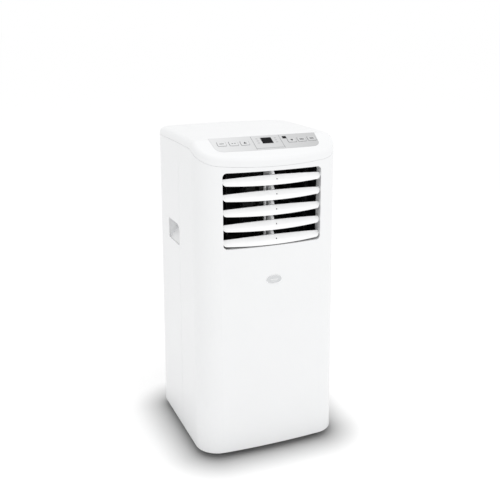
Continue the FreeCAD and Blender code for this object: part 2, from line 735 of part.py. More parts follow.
def make_center_rib():
    """The fixed rib that carries the middle of every blade, with a gusset above each."""
    low, high = dims.window_low + 0.3, dims.window_high - 0.3
    front, back = dims.blade_pivot_y + 5.0, dims.vane_pivot_y + 2.0
    half = dims.rib_half
    parts = [block("rib_web", (-half, half), (front, back), (low, high))]
    frame_low, frame_high = dims.window_low - 1.5, dims.window_high + 1.5
    foot_y = (dims.reveal_end_y + 1.0, back)
    parts.append(block("rib_foot_low", (-half - 3, half + 3), foot_y, (frame_low, low + 2)))
    parts.append(block("rib_foot_high", (-half - 3, half + 3), foot_y, (high - 2, frame_high)))
    holes = []
    for index, level in enumerate(PIVOT_LEVELS, start=1):
        parts.append(rod(f"rib_ear_{index}", 3.6, half * 2, -half, dims.blade_pivot_y, level, "x"))
        parts.append(block(f"rib_neck_{index}", (-half, half), (dims.blade_pivot_y, front + 1),
                           (level - 3.6, level + 3.6)))
        parts.append(gusset(f"rib_gusset_{index}", level, front))
        holes.append(rod(f"rib_hole_{index}", dims.pin_hole, half * 2 + 1, -half - 0.5,
                         dims.blade_pivot_y, level, "x"))
    return node("louver_center_rib", cut("louver_center_rib", fuse("rib_blank", parts), holes))


def gusset(name, level, front):
    """The part of the rib seen between two blades: its front edge slopes out and down."""
    body = body_at(name, Placement(-X_AXIS * num(dims.rib_half), Rotation()))
    sketch = sketch_on(body, "YZ_Plane", f"{name}_outline")
    polygon(sketch, [
        (front - 12.0, level + 9.8), (front + 1, level + 9.8), (front + 1, level + 18.2),
        (front - 4.0, level + 18.2),
    ])
    pad(body, sketch, dims.rib_half * 2)
    return body


# ------------------------------------------------------------ outlet frame and vanes
VANE_COUNT = 6
VANE_XS = [dims.vane_pitch * (k - (VANE_COUNT - 1) / 2) for k in range(VANE_COUNT)]
FRAME_LOW, FRAME_HIGH = dims.window_low - 1.5, dims.window_high + 1.5


def make_outlet_frame():
    wall = dims.frame_wall
    half, back = dims.frame_half_width, dims.frame_back_y
    front = dims.reveal_end_y + 0.3
    blank = block("frame_blank", (-half, half), (front, back), (FRAME_LOW - wall, FRAME_HIGH + wall))
    tools = [
        block("frame_throat", (wall - half, half - wall), (front - 1, back - 2.0), (FRAME_LOW, FRAME_HIGH)),
        block("frame_port", (-98, 98), (front, back + 1), (FRAME_LOW + 14, FRAME_HIGH - 14)),
    ]
    for index, x in enumerate(VANE_XS, start=1):
        tools.append(rod(f"vane_socket_{index}", dims.pin_hole, FRAME_HIGH - FRAME_LOW + wall * 2 + 2,
                         x, dims.vane_pivot_y, FRAME_LOW - wall - 1))
    return node("outlet_frame", cut("outlet_frame", blank, tools))


def make_vane(index, x):
    """One upright vane: a thin blade on two pins, with a tab for the link bar."""
    name = f"air_vane_{index}"
    half, depth = dims.vane_thickness * 0.5, dims.vane_depth * 0.5
    low, high = FRAME_LOW + 1.2, FRAME_HIGH - 1.2
    tab = block(f"{name}_tab", (x - 1.6, x + 1.6),
                (dims.vane_pivot_y + depth - 1, dims.vane_link_y + 2), (545, 548))
    parts = [
        vane_leaf(f"{name}_leaf", x, half, depth, low, high),
        rod(f"{name}_spindle", dims.pin_radius, high - low + 5.4, x, dims.vane_pivot_y, low - 2.7),
        tab,
        rod(f"{name}_link_pin", 1.2, 7, x, dims.vane_link_y, 546),
    ]
    return node(name, fuse(name, parts))


def vane_leaf(name, x, half, depth, low, high):
    """A leaf of lens section, thickest at its spindle."""
    leaf = body_at(name, Placement(Vector(num(x), num(dims.vane_pivot_y), num(low)), Rotation()))
    sketch = sketch_on(leaf, "XY_Plane", f"{name}_section")
    polygon(sketch, [
        (-half * 0.5, -depth), (half * 0.5, -depth), (half * 1.4, Size.of(0)),
        (half * 0.5, depth), (-half * 0.5, depth), (-half * 1.4, Size.of(0)),
    ])
    pad(leaf, sketch, high - low)
    return leaf


def make_vane_link():
    half = VANE_XS[-1] + 5
    bar = block("vane_bar_blank", (-half, half),
                (dims.vane_link_y - 2.4, dims.vane_link_y + 2.4), (549, 551.5))
    holes = [rod(f"vane_bar_hole_{i}", 1.26, 5, x, dims.vane_link_y, 548)
             for i, x in enumerate(VANE_XS, start=1)]
    return node("vane_link_bar", cut("vane_link_bar", bar, holes))


# ------------------------------------------------------------ control panel
KEYS = (
    ("key_timer", -97.0), ("key_fan", -71.5), ("key_up", -47.0),
    ("key_down", 58.5), ("key_mode", 81.5), ("key_power", 105.0),
)


def key_v(x):
    """The keys stand in a shallow arc that follows the panel's bowed lower edge."""
    return dims.key_row - dims.key_arc * (1 - (x / num(dims.panel_bottom_half)) ** 2)


def on_brow(x, v, rise):
    """A placement in the brow's plane: x across, v up the slope, rise out of it."""
    return Placement(BROW.multVec(Vector(num(x), num(v), num(rise))), BROW.Rotation)


def make_control_panel():
    body = body_at("control_panel_body", on_brow(0, 0, -dims.panel_sink))
    sketch = sketch_on(body, "XY_Plane", "panel_outline")
    polygon(sketch, [
        (-dims.panel_bottom_half, dims.panel_bottom), (dims.panel_bottom_half, dims.panel_bottom),
        (dims.panel_top_half, dims.panel_top), (-dims.panel_top_half, dims.panel_top),
    ], {0: num(dims.panel_bow)})
    sheet_pad = pad(body, sketch, dims.panel_sheet)
    doc.recompute()
    lower = [name for name in upright_edges(sheet_pad)
             if sheet_pad.Shape.Edges[int(name[4:]) - 1].BoundBox.YMax < num(dims.panel_bottom) + 1]
    round_edges(body, sheet_pad, lower, dims.panel_corner)
    slack = dims.key_slack * 2
    for name, x in KEYS:
        opening = sketch_on(body, "XY_Plane", f"{name}_opening")
        rectangle(opening, dims.key_width + slack, dims.key_tall + slack, x, key_v(x))
        pocket(body, opening, dims.panel_sheet + 1, up=True)
    for name, wide, tall, x, v in (
        ("display_opening", dims.display_width, dims.display_tall, dims.display_x, dims.display_v),
        ("sensor_opening", dims.sensor_width, dims.sensor_tall, dims.sensor_x, dims.sensor_v),
    ):
        opening = sketch_on(body, "XY_Plane", name)
        rectangle(opening, wide + 0.2, tall + 0.2, x, v)
        pocket(body, opening, dims.panel_sheet + 1, up=True)
    return node("control_panel", body)


def make_keys():
    for name, x in KEYS:
        rise = dims.panel_sheet - dims.panel_sink + dims.key_proud - dims.key_stem
        node(name, tile(f"{name}_cap", dims.key_width, dims.key_tall, dims.key_stem, 2.2, 0.35,
                        on_brow(x, key_v(x), rise)))


def make_windows():
    rise = -dims.panel_sink
    node("display_window", tile("display_lens", dims.display_width, dims.display_tall,
                                dims.panel_sheet - 0.1, 0.8, 0, on_brow(dims.display_x, dims.display_v, rise)))
    node("sensor_window", tile("sensor_lens", dims.sensor_width, dims.sensor_tall,
                               dims.panel_sheet + 0.1, 1.0, 0, on_brow(dims.sensor_x, dims.sensor_v, rise)))


BOARD_RISE = -13.0
SWITCH_TALL = 6.8


def make_control_board():
    """The circuit board under the panel, one switch under each key."""
    body = body_at("control_board_body", on_brow(4, -24, BOARD_RISE))
    outline = sketch_on(body, "XY_Plane", "board_outline")
    rectangle(outline, 222, 34)
    pad(body, outline, 1.6)
    for name, x in KEYS:
        foot = sketch_on(body, "XY_Plane", f"{name}_switch")
        rectangle(foot, 6, 6, x - 4, key_v(x) + 24)
        pad(body, foot, SWITCH_TALL)
    foot = sketch_on(body, "XY_Plane", "display_module")
    rectangle(foot, dims.display_width - 2, dims.display_tall - 2, dims.display_x - 4, dims.display_v + 24)
    pad(body, foot, -BOARD_RISE - num(dims.panel_sink) - 0.3)
    return node("control_board", body)


def make_badge():
    """A plain oval, domed a little by a soft edge."""
    back = badge_face_y() + 0.75
    prism = badge_prism(0, back)
    ahead = box_between((-50, back - num(dims.badge_thickness), 300), (50, back + 5, 500))
    plate = prism.common(ahead)
    front = [e for e in plate.Edges if e.BoundBox.YMax < back - num(dims.badge_thickness) + 1e-3]
    return node("badge", solid("badge_shape", plate.makeFillet(0.6, front[:1])))


# ------------------------------------------------------------ base tray and casters
CASTERS = [(sx, sy) for sy in (-1, 1) for sx in (-1, 1)]
TRAY_LOW, TRAY_SHEET, TRAY_RIM = 41.0, 3.0, 52.0
TRAY_FLOOR = TRAY_LOW + TRAY_SHEET


def make_base_tray():
    """A flat drip tray that carries the machinery, with a socket for each caster."""
    inset = num(dims.cover_wall) + 0.4
    tray = tapered(TRAY_LOW, TRAY_RIM, inset)
    tray = tray.cut(tapered(TRAY_FLOOR, TRAY_RIM + 5, inset + 3))
    for sx, sy in CASTERS:
        x, y = sx * num(dims.caster_x), sy * num(dims.caster_y)
        tray = tray.fuse(hole_along(Z_AXIS, 9, 12, x, y, TRAY_FLOOR))
        tray = tray.cut(hole_along(Z_AXIS, num(dims.stem_radius) + 0.05, 40, x, y, TRAY_LOW - 1))
    drain_x, drain_z = num(dims.drain_x), num(dims.drain_z)
    bore = num(dims.drain_bore)
    tray = tray.fuse(hole_along(Y_AXIS, bore + 2.6, 13, drain_x, 145.5, drain_z))
    tray = tray.cut(hole_along(Y_AXIS, bore, 40, drain_x, 140, drain_z))
    for x, z in SCREW_PLACES:
        if z < TRAY_RIM:
            tray = tray.cut(hole_along(Y_AXIS, num(dims.screw_shank) + 0.1, 40, x, 140, z))
    return node("base_tray", solid("base_tray_shape", tray.Solids[0]))


def make_caster(index, sx, sy):
    """A swivelling fork with its axle pin, and the wheel that turns on it."""
    x, y = dims.caster_x * sx, dims.caster_y * sy
    axle_y, axle_z = y - dims.caster_trail, dims.wheel_radius
    name = f"caster_fork_{index}"
    cheek, half = 2.4, dims.wheel_width * 0.5 + 0.8
    parts = [
        rod(f"{name}_stem", dims.stem_radius, 19, x, y, 35),
        rod(f"{name}_collar", 8, 5, x, y, 35.5),
        rod(f"{name}_crown", half + cheek, 5, x, y, 32),
        block(f"{name}_bridge", (x - half - cheek, x + half + cheek), (axle_y - 3, y), (32, 37)),
    ]
    for tag, low in (("left", x - half - cheek), ("right", x + half)):
        parts.append(block(f"{name}_cheek_{tag}", (low, low + cheek), (axle_y - 7, axle_y + 7), (axle_z, 34)))
        parts.append(rod(f"{name}_boss_{tag}", 7, cheek, low, axle_y, axle_z, "x"))
    axle_start = x - half - cheek * 0.5
    parts.append(rod(f"{name}_axle", dims.axle_radius, half * 2 + cheek, axle_start, axle_y, axle_z, "x"))
    node(name, fuse(name, parts))
    wheel = turned(f"caster_wheel_{index}_body", [
        (dims.axle_radius + 0.05, 0.6), (dims.wheel_radius - 5, 0.6), (dims.wheel_radius - 4, 0),
        (dims.wheel_radius - 1.5, 0), (dims.wheel_radius, 2.2),
        (dims.wheel_radius, dims.wheel_width - 2.2), (dims.wheel_radius - 1.5, dims.wheel_width),
        (dims.wheel_radius - 4, dims.wheel_width), (dims.wheel_radius - 5, dims.wheel_width - 0.6),
        (dims.axle_radius + 0.05, dims.wheel_width - 0.6),
    ])
    place(wheel, x - dims.wheel_width * 0.5, axle_y, axle_z, *TURN["x"])
    node(f"caster_wheel_{index}", wheel)


# ------------------------------------------------------------ cooling machinery
COMPRESSOR_AT = (-52.0, -40.0)
COMPRESSOR_FOOT = TRAY_FLOOR + 8.0
FOOT_ANGLES = (30, 150, 270)
ACCUMULATOR_AT = (COMPRESSOR_AT[0] + 72.0, COMPRESSOR_AT[1] + 8.0)
ACCUMULATOR_LOW = 76.0


def foot_places():
    for angle in FOOT_ANGLES:
        reach = num(dims.compressor_radius) + 9
        yield (COMPRESSOR_AT[0] + reach * math.cos(math.radians(angle)),
               COMPRESSOR_AT[1] + reach * math.sin(math.radians(angle)))


def make_compressor():
    radius, tall = dims.compressor_radius, dims.compressor_tall
    can = turned("compressor_can", [
        (Size.of(0), Size.of(0)), (radius - 14, Size.of(0)), (radius - 3, 6), (radius, 16),
        (radius, tall - 16), (radius - 3, tall - 6), (radius - 14, tall), (Size.of(0), tall),
    ])
    place(can, COMPRESSOR_AT[0], COMPRESSOR_AT[1], COMPRESSOR_FOOT)
    parts, holes = [can], []
    for index, (x, y) in enumerate(foot_places(), start=1):
        parts.append(rod(f"compressor_pad_{index}", 9, 3, x, y, COMPRESSOR_FOOT + 2))
        web_x = (min(x, COMPRESSOR_AT[0]) - 5, max(x, COMPRESSOR_AT[0]) + 5)
        web_y = (min(y, COMPRESSOR_AT[1]) - 5, max(y, COMPRESSOR_AT[1]) + 5)
        parts.append(block(f"compressor_web_{index}", web_x, web_y, (COMPRESSOR_FOOT + 2, COMPRESSOR_FOOT + 5)))
        holes.append(rod(f"compressor_hole_{index}", 4.3, 12, x, y, COMPRESSOR_FOOT - 3))
    parts.append(rod("compressor_port", 5, 14, COMPRESSOR_AT[0], COMPRESSOR_AT[1],
                     COMPRESSOR_FOOT + tall - 2))
    x, y = ACCUMULATOR_AT
    accumulator = turned("accumulator_can", [
        (Size.of(0), Size.of(0)), (6, Size.of(0)), (17, 12), (17, 98), (6, 110), (Size.of(0), 110),
    ])
    parts.append(place(accumulator, x, y, ACCUMULATOR_LOW))
    parts.append(block("accumulator_strap", (COMPRESSOR_AT[0] + radius - 6, x), (y - 5, y + 5),
                       (ACCUMULATOR_LOW + 52, ACCUMULATOR_LOW + 60)))
    node("compressor", cut("compressor", fuse("compressor_blank", parts), holes))
    feet = []
    for index, (x, y) in enumerate(foot_places(), start=1):
        foot = turned(f"compressor_foot_{index}", [
            (Size.of(0), 0), (8.5, 0), (8.5, 10), (4.2, 10), (4.2, 14), (Size.of(0), 14),
        ])
        feet.append(place(foot, x, y, TRAY_FLOOR))
    node("compressor_feet", group("compressor_feet", feet))


def make_coil(name, half_width, y, z, tube_rows):
    """A finned coil: thin upright plates threaded on level tubes."""
    pitch, fin = 10.0, 1.0
    count = int(2 * half_width / pitch) + 1
    parts = []
    for index in range(count):
        x = -half_width + index * pitch
        parts.append(block(f"{name}_fin_{index}", (x, x + fin), y, z))
    middle = (num(y[0]) + num(y[1])) / 2
    step = (z[1] - z[0]) / tube_rows
    for index in range(tube_rows):
        parts.append(rod(f"{name}_tube_{index}", 4.0, 2 * half_width + 12, -half_width - 5, middle,
                         z[0] + step * (index + 0.5), "x"))
    return node(name, fuse(name, parts))


def bent_tube(points, radius, bend):
    """A solid tube along straight runs joined by tangent arcs."""
    corners = [Vector(*p) for p in points]
    edges, start = [], corners[0]
    for before, corner, after in zip(corners, corners[1:], corners[2:]):
        back, ahead = (before - corner).normalize(), (after - corner).normalize()
        half_turn = back.getAngle(ahead) / 2
        reach = bend / math.tan(half_turn)
        entry, leave = corner + back * reach, corner + ahead * reach
        centre = corner + (back + ahead).normalize() * (bend / math.sin(half_turn))
        crest = centre + (corner - centre).normalize() * bend
        edges.append(Part.LineSegment(start, entry).toShape())
        edges.append(Part.Arc(entry, crest, leave).toShape())
        start = leave
    edges.append(Part.LineSegment(start, corners[-1]).toShape())
    path = Part.Wire(edges)
    heading = corners[1] - corners[0]
    section = Part.Wire([Part.Circle(corners[0], heading, radius).toShape()])
    sweep = Part.BRepOffsetAPI.MakePipeShell(path)
    sweep.add(section)
    sweep.build()
    sweep.makeSolid()
    return sweep.shape()


def make_pipes():
    x, y = COMPRESSOR_AT
    top = COMPRESSOR_FOOT + num(dims.compressor_tall) + 12
    hot = bent_tube([(x, y, top), (x, y, top + 32), (-141, y, top + 32), (-141, 132, top + 32),
                     (-141, 132, top + 12)], 3.5, 14)
    liquid = bent_tube([(141, 124, 90), (141, 90, 90), (141, 90, 300), (141, 100, 436)], 3.0, 12)
    x, y = ACCUMULATOR_AT
    suction = bent_tube([(x, y, ACCUMULATOR_LOW + 110), (x, y, 245), (124, y, 245), (124, y, 436)], 4.5, 18)
    tubes = Part.makeCompound([hot, liquid, suction])
    return node("refrigerant_pipes", solid("refrigerant_pipes_shape", tubes))


def make_mid_deck():
    """The pan between the hot and the cold halves."""
    level = num(dims.deck_level)
    inset = num(dims.cover_wall) + 6
    deck = tapered(level, level + 9, inset).cut(tapered(level + 3, level + 12, inset + 2.5))
    keep = box_between((-FAR, -FAR, 0), (FAR, 142, FAR * 2))
    deck = deck.common(keep)
    for side in (-1, 1):
        x = side * 118 if side > 0 else -FAR
        deck = deck.cut(box_between((x, -14, 0), (FAR if side > 0 else -118, 78, FAR * 2)))
    return node("mid_deck", solid("mid_deck_shape", deck.Solids[0]))


FAN_AXIS_Z = 558.0
CONDENSER_FRONT = 38.0


def make_blower_wheel(name, radius, width, blades, y, z, x=0):
    """A squirrel-cage wheel: back plate, hub, a ring of blades and a front ring."""
    body = body_at(f"{name}_body")
    plate = sketch_on(body, "XY_Plane", f"{name}_plate")
    circle(plate, radius)
    circle(plate, dims.shaft_radius + 0.05)
    pad(body, plate, 2)
    hub = sketch_on(body, "XY_Plane", f"{name}_hub")
    circle(hub, 11)
    circle(hub, dims.shaft_radius + 0.05)
    pad(body, hub, 18)
    vane = sketch_on(body, "XY_Plane", f"{name}_vane")
    rectangle(vane, 9, 1.4, radius - 5.5, 0)
    leaf = pad(body, vane, width)
    ring = body.newObject("PartDesign::PolarPattern", f"{name}_ring")
    ring.Originals = [leaf]
    ring.Axis = (plate, ["N_Axis"])
    ring.Angle = 360
    ring.Occurrences = blades
    body.Tip = ring
    doc.recompute()
    rim = sketch_on(body, "XY_Plane", f"{name}_rim")
    circle(rim, radius)
    circle(rim, radius - 10)
    rim.AttachmentOffset = Placement(Vector(0, 0, num(width) - 2), Rotation())
    body.Tip = pad(body, rim, 3)
    place(body, x, y, z, *TURN["y"])
    return node(name, body)


def make_scroll(name, x, y, z, radius, wall=2.4, inlet=52.0, outlet=None, rear_open=False):
    """A blower housing: a drum with an inlet, and an outlet duct if one is given."""
    length = y[1] - y[0]
    parts = [rod(f"{name}_drum", radius, length, x, y[0], z, "y")]
    tools = [rod(f"{name}_room", radius - wall, length - 2 * wall, x, y[0] + wall, z, "y")]
    if outlet:
        (x0, x1), (y0, y1), (z0, z1) = outlet
        parts.append(block(f"{name}_duct", (x0, x1), (y0, y1), (z0, z1)))
        tools.append(block(f"{name}_duct_room", (x0 + wall, x1 - wall),
                           (y0 - 1, y1 - wall), (z0 + wall, z1 - wall)))
    mouth = radius - wall if rear_open else inlet
    tools.append(rod(f"{name}_mouth", mouth, 2 * wall + 2, x, y[1] - wall - 1, z, "y"))
    tools.append(rod(f"{name}_shaft_hole", 14, 2 * wall + 2, x, y[0] - 1, z, "y"))
    return node(name, cut(name, fuse(f"{name}_blank", parts), tools))


def make_motor(name, y, length, z, reach, x=0):
    """A fan motor: a can, a nose and the shaft that carries the wheel."""
    can = turned(f"{name}_can", [
        (Size.of(0), Size.of(0)), (dims.motor_radius - 4, Size.of(0)), (dims.motor_radius, 4),
        (dims.motor_radius, length - 4), (dims.motor_radius - 4, length), (12, length),
        (12, length + 5), (dims.shaft_radius, length + 5), (dims.shaft_radius, length + reach),
        (Size.of(0), length + reach),
    ])
    return node(name, place(can, x, y, z, *TURN["y"]))


def make_electrical_box():
    blank = block("box_blank", (66, 132), (-128, -68), (70, 220))
    room = block("box_room", (68, 130), (-126, -70), (72, 221))
    capacitor = rod("box_capacitor", 17, 90, 86, -98, 71)
    relay = block("box_relay", (106, 126), (-118, -96), (71, 110))
    return node("electrical_box", fuse("electrical_box", [cut("box_shell", blank, [room]), capacitor, relay]))


# ------------------------------------------------------------ rear fittings
def make_exhaust_collar():
    """The ring that takes the exhaust hose, held by a flange inside the rear wall."""
    bore, outer = dims.collar_bore, dims.collar_bore + dims.collar_wall
    ring = turned("exhaust_collar_body", [
        (bore, Size.of(0)), (outer, Size.of(0)), (outer, 29.5), (outer + 7, 29.5), (outer + 7, 32),
        (outer, 32), (outer, dims.collar_length), (bore, dims.collar_length),
    ])
    return node("exhaust_collar", place(ring, 0, 124.0, dims.collar_z, *TURN["y"]))


def make_cord_gland():
    bore = dims.gland_bore
    ring = turned("cord_gland_body", [
        (bore, Size.of(0)), (GLAND_SLEEVE, Size.of(0)), (GLAND_SLEEVE, 9), (GLAND_SLEEVE + 4, 9),
        (GLAND_SLEEVE + 4, 11.8), (GLAND_SLEEVE, 11.8), (GLAND_SLEEVE, 14.5), (bore, 14.5),
    ])
    return node("cord_gland", place(ring, dims.gland_x, 147.7, dims.gland_z, *TURN["y"]))


def make_drain_plug():
    bore = dims.drain_bore
    plug = turned("drain_plug_body", [
        (Size.of(0), 2), (bore - 1.5, 0.1), (bore - 0.05, 4), (bore - 0.05, 16), (bore + 2.2, 16),
        (bore + 2.2, 18.2), (3, 18.2), (3, 18.7), (Size.of(0), 18.7),
    ])
    return node("drain_plug", place(plug, dims.drain_x, 143.6, dims.drain_z, *TURN["y"]))


def make_filter_panel():
    half, low, high = dims.filter_half_width, dims.filter_low, dims.filter_high
    back = dims.filter_back_y
    blank = block("filter_blank", (-half, half), (back - dims.filter_thickness, back), (low, high))
    tools = []
    rows, pitch = 15, 11.6
    for row in range(rows):
        z = low + 13 + row * pitch
        for column, x in enumerate((-84.0, 0.0, 84.0)):
            tools.append(block(f"filter_slot_{row}_{column}", (x - 38, x + 38), (120, 180), (z, z + 5.5)))
    tools.append(block("filter_hollow", (-(half - 5), half - 5),
                       (back - dims.filter_thickness - 1, back - 3.0), (low + 5, high - 5)))
    node("filter_panel", cut("filter_panel", blank, tools))
    frame = block("mesh_frame", (-119, 119), (back - 8.6, back - 3.05), (low + 11, high - 11))
    hollow = block("mesh_room", (-113, 113), (back - 10, back - 2), (low + 17, high - 17))
    gauze = block("mesh_gauze", (-116, 116), (back - 5.4, back - 4.6), (low + 14, high - 14))
    return node("filter_mesh", fuse("filter_mesh", [cut("mesh_ring", frame, [hollow]), gauze]))


def make_screws():
    screws = []
    for index, (x, z) in enumerate(SCREW_PLACES, start=1):
        back = -front_y_at(z)
        screw = turned(f"cover_screw_{index}", [
            (Size.of(0), Size.of(0)), (dims.screw_shank, Size.of(0)), (dims.screw_shank, 10),
            (dims.screw_head, 10), (dims.screw_head, 10.6), (dims.screw_head - 1.2, 11.4),
            (Size.of(0), 11.4),
        ])
        screws.append(place(screw, x, back - SCREW_SINK - 9.95, z, *TURN["y"]))
    return node("cover_screws", group("cover_screws", screws))


# ------------------------------------------------------------ the whole machine
def build_covers():
    wall = num(dims.cover_wall)
    shell = envelope().cut(envelope(wall, low=-10.0))
    gap = num(dims.seam_gap)
    below_cap = below_top(num(dims.cap_depth) + gap)
    node("front_cover", make_front_cover(shell, below_cap))
    node("rear_cover", make_rear_cover(shell, below_cap))
    node("top_cover", make_top_cover(shell, below_top(num(dims.cap_depth))))
    node("intake_grille", make_intake_grille(shell))


def build_machine():
    build_covers()
    make_base_tray()
    make_side_grip("side_grip_left", -1)
    make_side_grip("side_grip_right", 1)
    make_badge()
    for index, (level, pivot) in enumerate(zip(BLADE_LEVELS, PIVOT_LEVELS), start=1):
        make_blade(index, level, pivot)
    make_link_bar()
    make_center_rib()
    make_outlet_frame()
    for index, x in enumerate(VANE_XS, start=1):
        make_vane(index, x)
    make_vane_link()
    make_control_panel()
    make_keys()
    make_windows()
    make_control_board()
    for index, (sx, sy) in enumerate(CASTERS, start=1):
        make_caster(index, sx, sy)
    make_compressor()
    make_coil("condenser_coil", 130, (118, 143), (58, 262), 6)
    make_coil("evaporator_coil", 126, (96, 120), (456, 652), 6)
    make_pipes()
    make_mid_deck()
    make_scroll("condenser_scroll", 0, (30, 123), dims.collar_z, 84, rear_open=True)
    make_blower_wheel("condenser_wheel", dims.condenser_wheel_radius, 50, 20, CONDENSER_FRONT, dims.collar_z)
    make_motor("condenser_motor", -10, 40, dims.collar_z, 28)
    make_scroll("evaporator_scroll", 0, (-22, 84), FAN_AXIS_Z, 88, inlet=62,
                outlet=((-100, 100), (-83.5, -10), (FAN_AXIS_Z - 72, FAN_AXIS_Z + 72)))
    make_blower_wheel("evaporator_wheel", dims.evaporator_wheel_radius, 80, 24, -16, FAN_AXIS_Z)
    make_motor("evaporator_motor", -58, 36, FAN_AXIS_Z, 28)
    make_electrical_box()
    make_exhaust_collar()
    make_cord_gland()
    make_drain_plug()
    make_filter_panel()
    make_screws()
    doc.recompute()


def check_and_write():
    failed = [obj.Name for obj in doc.Objects if "Invalid" in obj.State or "Error" in obj.State]
    if failed:
        raise RuntimeError(f"not built: {failed}")
    os.makedirs("parts", exist_ok=True)
    for name, obj in nodes.items():
        shape = obj.Shape
        if shape.isNull() or not shape.isValid() or not shape.Solids:
            raise RuntimeError(f"{name} has no valid solid")
        box = shape.BoundBox
        print(f"{name:20s} solids {len(shape.Solids)} volume {shape.Volume / 1000:9.2f} cm3  "
              f"x {box.XMin:.1f}..{box.XMax:.1f} y {box.YMin:.1f}..{box.YMax:.1f} z {box.ZMin:.1f}..{box.ZMax:.1f}")
    for name, obj in nodes.items():
        obj.Shape.exportStep(os.path.join("parts", f"{name}.step"))
    print(len(nodes), "nodes")


build_machine()
check_and_write()
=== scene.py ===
"""Looks for the portable air conditioner: materials, fine pieces, floor, light and camera."""

import json
import math

import bmesh
import bpy
from mathutils import Euler, Matrix, Vector


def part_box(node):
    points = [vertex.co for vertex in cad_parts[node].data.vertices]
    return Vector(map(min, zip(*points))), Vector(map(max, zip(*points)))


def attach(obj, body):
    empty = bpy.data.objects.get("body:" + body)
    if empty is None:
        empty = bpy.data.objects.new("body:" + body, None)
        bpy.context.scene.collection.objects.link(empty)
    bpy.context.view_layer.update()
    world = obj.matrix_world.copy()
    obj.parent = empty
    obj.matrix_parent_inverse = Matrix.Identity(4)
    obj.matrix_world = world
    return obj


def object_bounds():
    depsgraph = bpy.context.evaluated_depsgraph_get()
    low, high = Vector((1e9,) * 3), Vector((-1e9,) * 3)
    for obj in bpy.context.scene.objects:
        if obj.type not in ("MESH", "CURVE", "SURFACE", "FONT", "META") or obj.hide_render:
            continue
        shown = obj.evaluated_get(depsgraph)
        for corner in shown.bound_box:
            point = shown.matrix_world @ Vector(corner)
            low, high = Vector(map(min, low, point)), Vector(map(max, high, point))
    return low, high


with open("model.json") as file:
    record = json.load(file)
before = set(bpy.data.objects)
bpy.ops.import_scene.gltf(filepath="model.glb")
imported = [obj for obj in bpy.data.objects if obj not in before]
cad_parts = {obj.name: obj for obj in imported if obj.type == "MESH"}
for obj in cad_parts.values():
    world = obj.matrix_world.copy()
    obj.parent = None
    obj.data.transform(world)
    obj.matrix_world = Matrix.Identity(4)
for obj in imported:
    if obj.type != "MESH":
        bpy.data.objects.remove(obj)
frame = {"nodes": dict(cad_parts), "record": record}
cad_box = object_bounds()
nodes = frame["nodes"]
MM = 0.001
SMOOTH_ANGLE = math.radians(35)

# finishes
PANEL_SHARE = 0.7               # the key panel's width over the body's
# painted contact shadow on the floor, set by the four SHADE values below
SHADE_CORNER = 0.05             # floor shade: corner radius, reach, depth and falloff
SHADE_REACH = 0.092
SHADE_DEPTH = 0.57
SHADE_CURVE = 1.4

# studio
FLOOR_HALF = 40.0
SKY = 1.0
LAMPS = {
    # name: (place, target, side of the square lamp, watts)
    "overhead": ((0.2, -0.5, 2.8), (0, 0, 0.3), 2.2, 9.0),
    "front": ((0.9, -2.6, 1.6), (0, 0, 0.55), 1.4, 7.0),
}
CAMERA_PLACE = (-0.619, -1.5376, 0.9342)
CAMERA_YAW = 22.24
CAMERA_DROP = 17.11
FOCAL_PER_WIDTH = 1.5155
SENSOR_WIDTH = 36.0


# ------------------------------------------------------------ materials
def set_inputs(shader, **values):
    """Sets the shader's own sockets by name, with _ for a space."""
    for name, value in values.items():
        shader.inputs[name.replace("_", " ")].default_value = value


def add_node(tree, kind, **settings):
    """A new node of a kind, with its properties set."""
    made = tree.nodes.new(kind)
    for name, value in settings.items():
        setattr(made, name, value)
    return made


def surface(name, color, rough, tint=0.03, spread=0.06, grain=900.0, depth=0.00004, cloud=14.0,
            metallic=0.0, coat=0.0, specular=0.5):
    """A moulded or painted surface: cloudy tint, uneven gloss and a fine grain in relief."""
    material = bpy.data.materials.new(name)
    material.use_nodes = True
    tree = material.node_tree
    shader = tree.nodes["Principled BSDF"]
    set_inputs(shader, Metallic=metallic, Coat_Weight=coat, Coat_Roughness=0.12, Specular_IOR_Level=specular)
    place = add_node(tree, "ShaderNodeTexCoord")
    clouds = add_node(tree, "ShaderNodeTexNoise")
    set_inputs(clouds, Scale=cloud, Detail=4.0, Roughness=0.55)
    fine = add_node(tree, "ShaderNodeTexNoise")
    set_inputs(fine, Scale=grain, Detail=3.0, Roughness=0.6)
    for texture in (clouds, fine):
        tree.links.new(place.outputs["Object"], texture.inputs["Vector"])
    gloss = add_node(tree, "ShaderNodeMapRange")
    set_inputs(gloss, From_Min=0.3, From_Max=0.7, To_Min=rough - spread, To_Max=rough + spread)
    tree.links.new(clouds.outputs["Fac"], gloss.inputs["Value"])
    tree.links.new(gloss.outputs["Result"], shader.inputs["Roughness"])
    mix = add_node(tree, "ShaderNodeMix", data_type="RGBA")
    mix.inputs["A"].default_value = (*[c * (1.0 - tint) for c in color], 1.0)
    mix.inputs["B"].default_value = (*[min(1.0, c * (1.0 + tint * 0.3)) for c in color], 1.0)
    tree.links.new(clouds.outputs["Fac"], mix.inputs["Factor"])
    tree.links.new(mix.outputs["Result"], shader.inputs["Base Color"])
    relief = add_node(tree, "ShaderNodeBump")
    set_inputs(relief, Strength=0.35, Distance=depth)
    tree.links.new(fine.outputs["Fac"], relief.inputs["Height"])
    tree.links.new(relief.outputs["Normal"], shader.inputs["Normal"])
    return material


def multiply_colour(material, factor):
    """Puts a multiplication by the factor socket between the base colour and the shader."""
    tree = material.node_tree
    target = tree.nodes["Principled BSDF"].inputs["Base Color"]
    source = target.links[0].from_socket
    product = add_node(tree, "ShaderNodeVectorMath", operation="SCALE")
    tree.links.new(source, product.inputs[0])
    tree.links.new(factor, product.inputs["Scale"])
    tree.links.new(product.outputs["Vector"], target)


